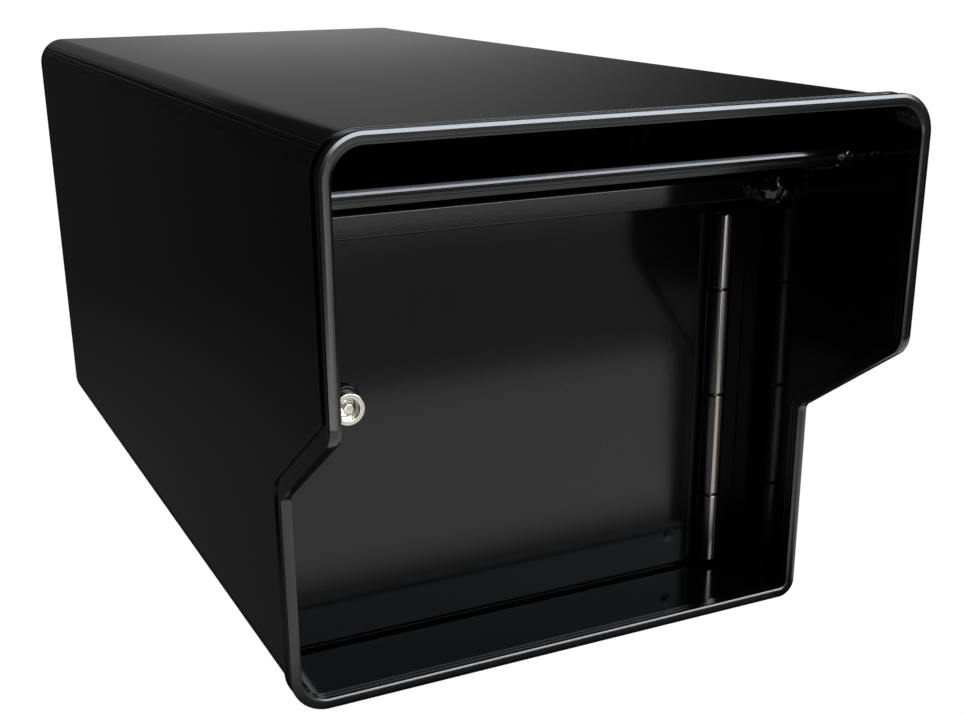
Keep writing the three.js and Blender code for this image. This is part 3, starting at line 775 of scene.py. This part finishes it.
def hinge_leaf(name, left, right, own, others):
    leaf = block(name, (left, leaf_front, pin_low.z), (right, leaf_high.y, pin_high.z))
    combine(
        leaf,
        [
            block(
                "notch", (hinge_x - notch, hinge_y, low - knuckle_gap),
                (hinge_x + notch, leaf_high.y + mm, high + knuckle_gap),
            )
            for low, high in others
        ],
    )
    soften(leaf, 0.3 * mm, 2)
    rolled = []
    for low, high in own:
        knuckle = rod("knuckle", (hinge_x, hinge_y, low), (hinge_x, hinge_y, high), barrel, 64)
        edit(knuckle)
        pick("FACE", lambda f: abs(f.normal.z) > 0.9)
        bpy.ops.mesh.inset(thickness=barrel - bore)
        bpy.ops.mesh.bridge_edge_loops()
        only(knuckle)
        soften(knuckle, 0.7 * mm, 4)
        rolled.append(knuckle)
    bored = rod("bore", (hinge_x, hinge_y, pin_low.z - mm), (hinge_x, hinge_y, pin_high.z + mm), bore, 48)
    combine(leaf, [bored])
    combine(leaf, rolled, "UNION")
    smooth(leaf)
    return leaf


frame_leaf = hinge_leaf("frame_leaf", hinge_x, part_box("frame_hinge_leaf")[1].x, knuckles[::2], knuckles[1::2])
door_leaf = hinge_leaf("door_leaf", leaf_low.x, hinge_x, knuckles[1::2], knuckles[::2])
pin = rod("pin", (hinge_x, hinge_y, pin_low.z), (hinge_x, hinge_y, pin_high.z), pin_high.x - hinge_x)
soften(pin, 0.6 * mm, 3)
smooth(pin)

# The hinge is sprayed black with the housing, and its knuckles are rubbed through to the steel along
# their front, in a streak with ragged edges. The pin is plated with bright zinc.
hinge_steel = Finish("oiled_hinge_steel", **{"Specular IOR Level": 0.5})
beside = hinge_steel.node("SeparateXYZ", {}, {"Vector": hinge_steel.place})
beside_x, beside_y = beside["X"] - hinge_x, hinge_y - beside["Y"]
off_pin = hinge_steel.maths("SQRT", beside_x * beside_x + beside_y * beside_y)
facing = hinge_steel.maths("ARCTAN2", 0 - beside_x, beside_y)
drawn_steel = hinge_steel.noise(1.0, 4.0, (900, 900, 12))
oil = hinge_steel.noise(60.0, 3.0, (1, 1, 0.35))
ragged = facing + 0.12 * (oil - 0.5)
sprayed = hinge_steel.step(off_pin, barrel + 0.1 * mm, barrel + 0.5 * mm)
bare = (1 - sprayed) * (1 - hinge_steel.step(abs(ragged - 0.13), 0.22, 0.30))
hinge_steel.feed(
    {
        "Base Color": hinge_steel.blend(bare, grey(0.003), (0.42, 0.39, 0.35, 1)),
        "Metallic": bare,
        "Roughness": 0.13 + 0.1 * drawn_steel + 0.06 * oil,
        "Normal": hinge_steel.bump(drawn_steel, 0.00003, 0.4),
    }
)
zinc = Finish("zinc_plate", **{"Metallic": 1.0})
spangle = zinc.noise(180.0, 3.0)
zinc.feed(
    {
        "Base Color": zinc.blend(spangle, grey(0.42, 0.02), grey(0.6, -0.02)),
        "Roughness": 0.26 + 0.22 * spangle,
        "Normal": zinc.bump(spangle, 0.00003, 0.3),
    }
)
fit(frame_leaf, hinge_steel, "housing", "hinge_steel", "frame_hinge_leaf")
fit(door_leaf, hinge_steel, "door", "hinge_steel", "door_hinge_leaf")
fit(pin, zinc, "housing", "zinc", "hinge_pin")

# Door panel: a flat steel plate, powder coated as the housing is, with a hole for the lock that has two
# flats. Its lower left corner is rounded to clear the housing's bend, and it has one shallow dent.
door_low, door_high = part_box("door_panel")
lock_low, lock_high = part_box("lock_housing")
lock_x, lock_z = (lock_low.x + lock_high.x) / 2, (lock_low.z + lock_high.z) / 2
door_corner = 12.5 * mm
lock_body, lock_flat = 7.8 * mm, 0.8 * mm
clearance = 0.3 * mm


def about_lock(x, y, z):
    """A point given in millimetres from the lock's axis, and back from the hood's front edge."""
    return Vector((lock_x + x * mm, shell_low.y + y * mm, lock_z + z * mm))


def lock_hole(name, front, back, gap):
    """A round bar with two flats, as the lock's body is."""
    bar = rod(name, about_lock(0, front, 0), about_lock(0, back, 0), lock_body + gap)
    edit(bar)
    for side in (-1, 1):
        flat = (lock_x, 0, lock_z + side * (lock_body - lock_flat + gap))
        bpy.ops.mesh.select_all(action="SELECT")
        bpy.ops.mesh.bisect(plane_co=flat, plane_no=(0, 0, side), clear_outer=True, use_fill=True)
    only(bar)
    return bar


door = block("lower_door", door_low, door_high)
edit(door)
pick("EDGE", lambda e: all(v.co.x < door_low.x + tiny and v.co.z < door_low.z + tiny for v in e.verts))
bpy.ops.mesh.bevel(offset=door_corner, segments=8)
only(door)
combine(door, [lock_hole("punch", 120, 140, clearance)])
soften(door, 0.5 * mm, 3, 40)
smooth(door)
fit(door, powder_coat, "door", "powder_coat", "door_panel")

# Door stiffener: a hat section of thin sheet steel, powder coated as the door is and spot welded down the
# middle of its back, to keep the flat plate from bending.
hat_low, hat_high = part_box("door_stiffener")
hat_foot = (hat_low.z - shell_low.z) / mm
hat_middle = (hat_low.x + hat_high.x) / 2 / mm
hat_front, hat_back = 131.7, 143.7
hat_sheet = 1.8
hat_line = [
    (-31, hat_front), (-17, hat_front), (-17, hat_back), (17, hat_back), (17, hat_front), (31, hat_front),
]
stiffener = bent_sheet(
    "door_hat_section", [spot(hat_middle + x, y, hat_foot) for x, y in hat_line],
    (0, 0, hat_high.z - hat_low.z), hat_sheet, hat_sheet,
)
smooth(stiffener)
fit(stiffener, powder_coat, "door", "powder_coat", "door_stiffener")

# Lock housing: the turned and threaded body of a tubular cam lock, bright nickel plated. Its ring rests
# on the collar, with a round keyway and a notch at lower left for the key's tab.
ring_front, ring_back, lock_rear = 120.8, 123.9, 143.0
keyway, tab_turn = 5.6, math.radians(217)


def turned(name, profile, steps=64):
    """A piece turned about the lock's axis from a closed (radius, depth) line."""
    piece = drawn(name, [about_lock(r, y, 0) for r, y in profile], closed=True)
    edit(piece)
    bpy.ops.mesh.select_mode(type="EDGE")
    bpy.ops.mesh.select_all(action="SELECT")
    bpy.ops.mesh.spin(steps=steps, angle=math.tau, center=about_lock(0, 0, 0), axis=(0, 1, 0))
    bpy.ops.mesh.select_all(action="SELECT")
    bpy.ops.mesh.remove_doubles(threshold=0.003 * mm)
    bpy.ops.mesh.normals_make_consistent(inside=False)
    only(piece)
    return piece


thread = [(7.8 - 0.45 * (i % 2), ring_back + 1 + 0.5 * i) for i in range(36)]
lock_ring = turned(
    "lock_ring",
    [(keyway, ring_front + 0.6), (5.75, ring_front + 0.25), (6.1, ring_front + 0.05), (6.4, ring_front)]
    + bow(8.1, ring_front + 0.7, 0.7, 270, 360, 6)
    + [(8.8, ring_back), (7.8, ring_back)] + thread + [(7.4, lock_rear), (keyway, lock_rear)],
)
flats = [
    block("flat", about_lock(-20, ring_back, low), about_lock(20, lock_rear + 1, high))
    for low, high in ((-10, -7), (7, 10))
]
only()
bpy.ops.mesh.primitive_cube_add(
    size=1, scale=(1.8 * mm, 5 * mm, 1.8 * mm), rotation=(0, -tab_turn, 0),
    location=about_lock(keyway * math.cos(tab_turn), ring_front, keyway * math.sin(tab_turn)),
)
combine(lock_ring, flats + [placed("tab_notch")])
smooth(lock_ring, 30)

nickel = Finish("bright_nickel", **{"Metallic": 1.0})
buffed = nickel.noise(500.0, 3.0)
tarnish = nickel.noise(220.0, 2.0)
nickel.feed(
    {
        "Base Color": nickel.blend(tarnish, (0.72, 0.68, 0.60, 1), (0.86, 0.84, 0.80, 1)),
        "Roughness": 0.16 + 0.14 * buffed,
        "Normal": nickel.bump(buffed, 0.00002, 0.3),
    }
)
fit(lock_ring, nickel, "door", "nickel", "lock_housing")

# Lock plug: the part that turns, with the round post that the tubular key slides over, the seven pins
# round it and the square stud behind that drives the cam.
post_front, keyway_floor, stud_end = ring_front + 0.8, ring_front + 7, 147.4
pin_count, pin_circle, pin_radius = 7, 4.1, 0.63 * mm
stud_half, tapped_radius = 3.2, 2.3 * mm
plug = turned(
    "lock_plug",
    [(0, post_front)] + bow(2.4, post_front + 0.5, 0.5, 270, 360, 5)
    + [(2.9, keyway_floor), (5.3, keyway_floor), (5.3, lock_rear), (0, lock_rear)],
    48,
)
pins = []
for i in range(pin_count):
    angle = math.tau * (i + 0.5) / pin_count
    x, z = pin_circle * math.cos(angle), pin_circle * math.sin(angle)
    start, end = about_lock(x, keyway_floor - 0.8, z), about_lock(x, keyway_floor + 1.3, z)
    pins.append(rod("pin", start, end, pin_radius, 18))
stud = block(
    "stud", about_lock(-stud_half, lock_rear - 1, -stud_half), about_lock(stud_half, stud_end, stud_half)
)
combine(plug, pins + [stud], "UNION")
tapped = rod("tapped", about_lock(0, stud_end - 9.3, 0), about_lock(0, stud_end + 1, 0), tapped_radius, 24)
combine(plug, [tapped])
smooth(plug, 30)
fit(plug, nickel, "lock", "nickel", "lock_plug")

# Lock collar: a glossy black nylon moulding between the lock's ring and the door, with a round lobe that
# shows above the lock.
collar_front, collar_back = 124.2, 127.2
eye_radius, lobe_radius, lobe_rise = 8.8 * mm, 7.4 * mm, 5
lobe_front, lobe_back = collar_front + 0.15, collar_back - 0.1
collar = rod("lock_collar_eye", about_lock(0, collar_front, 0), about_lock(0, collar_back, 0), eye_radius, 64)
lobe = rod("lobe", about_lock(0, lobe_front, lobe_rise), about_lock(0, lobe_back, lobe_rise), lobe_radius, 64)
for part in (collar, lobe):
    soften(part, 1.35 * mm, 6, 60)
combine(collar, [lobe], "UNION")
combine(collar, [lock_hole("eye", 120, 130, clearance)])
smooth(collar, 40)

black_nylon = Finish("black_nylon", **{"Specular IOR Level": 0.3})
mould = black_nylon.noise(400.0, 2.0)
black_nylon.feed(
    {
        "Base Color": black_nylon.blend(mould, grey(0.003), grey(0.006)),
        "Roughness": 0.12 + 0.1 * mould,
        "Normal": black_nylon.bump(mould, 0.00003, 0.3),
    }
)
fit(collar, black_nylon, "door", "black_nylon", "lock_collar")

# Lock washer and nut: a plain washer and a hexagon nut on the lock's thread, in bright zinc plate. They
# hold the lock in the door from behind.
washer_front, washer_radius = 130.8, 11.5 * mm
washer = rod(
    "plain_washer", about_lock(0, washer_front, 0), about_lock(0, washer_front + 1, 0), washer_radius
)
nut_front = washer_front + 1.3
nut_corner = 12 / math.cos(math.pi / 6) * mm
nut = rod("hexagon_nut", about_lock(0, nut_front, 0), about_lock(0, nut_front + 4, 0), nut_corner, 6)
for piece, width in ((washer, 0.2), (nut, 0.7)):
    only(piece)
    soften(piece, width * mm, 2, 70)
    combine(piece, [rod("hole", about_lock(0, 125, 0), about_lock(0, 140, 0), lock_body + clearance)])
    smooth(piece)
fit(washer, zinc, "door", "zinc", "lock_washer")
fit(nut, zinc, "door", "zinc", "lock_nut")

# Cam, stop washer, screw washer and screw: the flat cam turns with the plug and hooks behind the left
# jamb. The stop washer's tab limits the turn, and the screw holds both on the square stud.
cam_low, cam_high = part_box("lock_cam")
cam_foot_corner, cam_top_corner = 3.5 * mm, 6.5 * mm
square_half = 3.5
stop_front, disc_front, screw_front = 143.3, 147.7, 149
cam = block("latch_cam", cam_low, cam_high)
edit(cam)
for height, radius in ((cam_low.z, cam_foot_corner), (cam_high.z, cam_top_corner)):
    pick("EDGE", lambda e: abs(lean(e).y) > 0.99 and abs(e.verts[0].co.z - height) < tiny)
    bpy.ops.mesh.bevel(offset=radius, segments=8)
only(cam)
soften(cam, 0.3 * mm, 2)
stop_washer = rod("stop_disc", about_lock(0, stop_front, 0), about_lock(0, stop_front + 1, 0), 9 * mm)
tab = block("tab", about_lock(-4, 143.35, 0), about_lock(4, 144.25, 11))
for part in (stop_washer, tab):
    soften(part, 0.15 * mm, 2)
combine(stop_washer, [tab], "UNION")
for piece in (cam, stop_washer):
    low, high = about_lock(-square_half, 140, -square_half), about_lock(square_half, 150, square_half)
    combine(piece, [block("square", low, high)])
screw_washer = rod("screw_disc", about_lock(0, disc_front, 0), about_lock(0, disc_front + 1, 0), 6 * mm)
soften(screw_washer, 0.2 * mm, 2)
combine(screw_washer, [rod("hole", about_lock(0, 146, 0), about_lock(0, 150, 0), tapped_radius, 24)])
screw = rod("hexagon_screw", about_lock(0, screw_front, 0), about_lock(0, screw_front + 3, 0), 4.2 * mm, 6)
soften(screw, 0.4 * mm, 2)
combine(screw, [rod("shank", about_lock(0, stud_end - 9, 0), about_lock(0, 150, 0), 2 * mm, 24)], "UNION")
for piece, node in (
    (cam, "lock_cam"), (stop_washer, "cam_stop_washer"),
    (screw_washer, "cam_screw_washer"), (screw, "cam_screw"),
):
    smooth(piece)
    fit(piece, zinc, "lock", "zinc", node)

# Floor: a plain white studio, evenly bright: a round floor with a wall straight up from its rim. Only the
# camera sees it, so that it lights and mirrors nothing.
only()
studio_radius = studio_height = 12
bpy.ops.mesh.primitive_circle_add(vertices=96, radius=studio_radius, fill_type="NGON", location=(0, 0, 0))
floor = placed("studio_floor")
edit(floor)
pick("EDGE", lambda e: True)
bpy.ops.mesh.extrude_region_move(TRANSFORM_OT_translate={"value": (0, 0, studio_height)})
bpy.ops.mesh.select_all(action="SELECT")
bpy.ops.mesh.normals_make_consistent(inside=True)
only(floor)
floor_white = Finish(
    "studio_white", **{"Base Color": grey(0.05), "Emission Color": grey(1.0), "Emission Strength": 1.0}
)
floor.data.materials.append(floor_white.material)
floor.visible_glossy = floor.visible_diffuse = False


def softbox(name, place, target, width, height, radiance, tint):
    """A large soft light of an even radiance, turned to a target."""
    only()
    place, target = Vector(place), Vector(target)
    turn = (target - place).to_track_quat("-Z", "Y").to_euler()
    bpy.ops.object.light_add(type="AREA", location=place, rotation=turn)
    light = bpy.context.object
    light.name = name
    light.data.shape = "RECTANGLE"
    light.data.size, light.data.size_y = width, height
    light.data.energy = radiance * math.pi * width * height
    light.data.color = tint
    light.visible_camera = False


# Light: a long window in front, bright in its lower half and dimmer in its upper one, gives the trim and
# the lip their highlights. A panel high in front and one above fill in the rest.
window_blue = (0.92, 0.95, 1)
softbox("light_window", (1.75, -3.2, 0.78), (1.75, 0, 0.78), 3.0, 0.86, 10.5, window_blue)
softbox("light_front_panel", (1.2, -1.7, 2.3), (0.3, -0.25, 0.1), 2.4, 1.0, 2.5, window_blue)
softbox("light_above", (0.9, 0.45, 2.4), (0.2, -0.3, 0.3), 2.4, 0.9, 0.8, window_blue)
softbox("light_window_top", (1.75, -3.2, 1.62), (1.75, 0, 1.62), 3.0, 0.8, 1.7, (0.85, 0.92, 1))


def glow(name, corners, radiance_at):
    """A lit surface that the camera doesn't see. Its radiance is worked out from each place's x, y, z."""
    piece = drawn(name, corners, closed=True)
    edit(piece)
    bpy.ops.mesh.select_all(action="SELECT")
    bpy.ops.mesh.edge_face_add()
    only(piece)
    lit = Finish(name, **{"Base Color": grey(0.0), "Specular IOR Level": 0.0, "Emission Strength": 1.0})
    place = lit.node("SeparateXYZ", {}, {"Vector": lit.place})
    radiance = radiance_at(lit, place["X"], place["Y"], place["Z"])
    colour = lit.node("CombineColor", {}, dict.fromkeys(("Red", "Green", "Blue"), radiance))
    lit.feed({"Emission Color": colour})
    piece.data.materials.append(lit.material)
    piece.visible_camera = piece.visible_shadow = False


def on_floor(*places):
    """Corners just above the floor."""
    return [(x, y, mm) for x, y in places]


# Reflected surfaces: the door, the header and the trim's face mirror the pale table in front of the mouth,
# which is shaded in its middle, and the lit floor on both sides of it. The left wall mirrors the floor
# beside the box, and the top mirrors the wall behind, which darkens upwards and to the right.
glow(
    "lit_table",
    on_floor((-0.2, -0.25), (0.141, -0.25), (1.23, -1.9), (0.422, -1.9), (-0.024, -0.604), (-0.2, -0.604)),
    lambda lit, x, y, z: (1 - 0.9 * lit.step(y, -0.315, -0.245))
    * (0.23 + 0.55 * lit.step(y, -0.66, -0.56) + 0.85 * (1 - lit.step(y, -1.4, -1.2))),
)
glow(
    "lit_strip", on_floor((-0.26, -0.685), (-0.024, -0.604), (0.529, -2.21), (0.293, -2.29)),
    lambda lit, x, y, z: 2.1,
)
glow(
    "lit_floor_left", on_floor((-1.0, -0.45), (-0.16, -0.45), (-0.16, 1.0), (-1.0, 1.0)),
    lambda lit, x, y, z: 0.02 + 0.026 * lit.step(x, -0.6, -0.2) * (1 - lit.step(y, 0.0, 0.8)),
)
glow(
    "lit_floor_right", on_floor((0.165, -0.255), (0.45, -0.255), (0.75, -0.62), (0.425, -0.62)),
    lambda lit, x, y, z: lit.step(y, -0.62, -0.45),
)
glow(
    "lit_wall", [(-0.4, 3.4, 0.2), (3.4, 3.4, 0.2), (3.4, 3.4, 1.3), (-0.4, 3.4, 1.3)],
    lambda lit, x, y, z: (0.75 + 0.25 * lit.step(x, 0.1, 0.9)) * (1.1 - 0.92 * lit.step(x, 1.2, 3.1))
    * (0.115 + 0.3 * (1 - lit.step(z, 0.22, 0.66)) * (0.55 + 0.9 * lit.step(x, 0.2, 1.0))),
)

# World: a faint, even light from all sides, so that nothing is quite black. The colours go into the
# picture unchanged, by the Standard view.
world = bpy.data.worlds.new("dim_studio")
bpy.context.scene.world = world
world.use_nodes = True
world.node_tree.nodes["Background"].inputs["Color"].default_value = grey(1.0)
world.node_tree.nodes["Background"].inputs["Strength"].default_value = 0.02
bpy.context.scene.view_settings.view_transform = "Standard"

# Camera: in front of the box's left side and above it, looking 26 degrees across and 20 degrees down. Its
# lens comes from the focal length and its shift from the row of the view's centre, both in pixels.
picture_width, picture_height = 966, 715
focal_length, view_centre_row = 1381.4, 440
across, down, roll = math.radians(25.832), math.radians(19.905), math.radians(-0.438)
forward = Vector((math.sin(across) * math.cos(down), math.cos(across) * math.cos(down), -math.sin(down)))
level = Vector((math.cos(across), -math.sin(across), 0))
upright = level.cross(forward)
right = level * math.cos(roll) + upright * math.sin(roll)
up = upright * math.cos(roll) - level * math.sin(roll)
only()
bpy.ops.object.camera_add(location=spot(-330.3, -510.6, 362.6))
camera = bpy.context.object
camera.rotation_euler = Matrix((right, up, -forward)).transposed().to_euler()
camera.data.sensor_width = 36
camera.data.lens = camera.data.sensor_width * focal_length / picture_width
camera.data.shift_y = (view_centre_row - picture_height / 2) / picture_width
camera.data.clip_start, camera.data.clip_end = 0.01, 100
bpy.context.scene.camera = camera
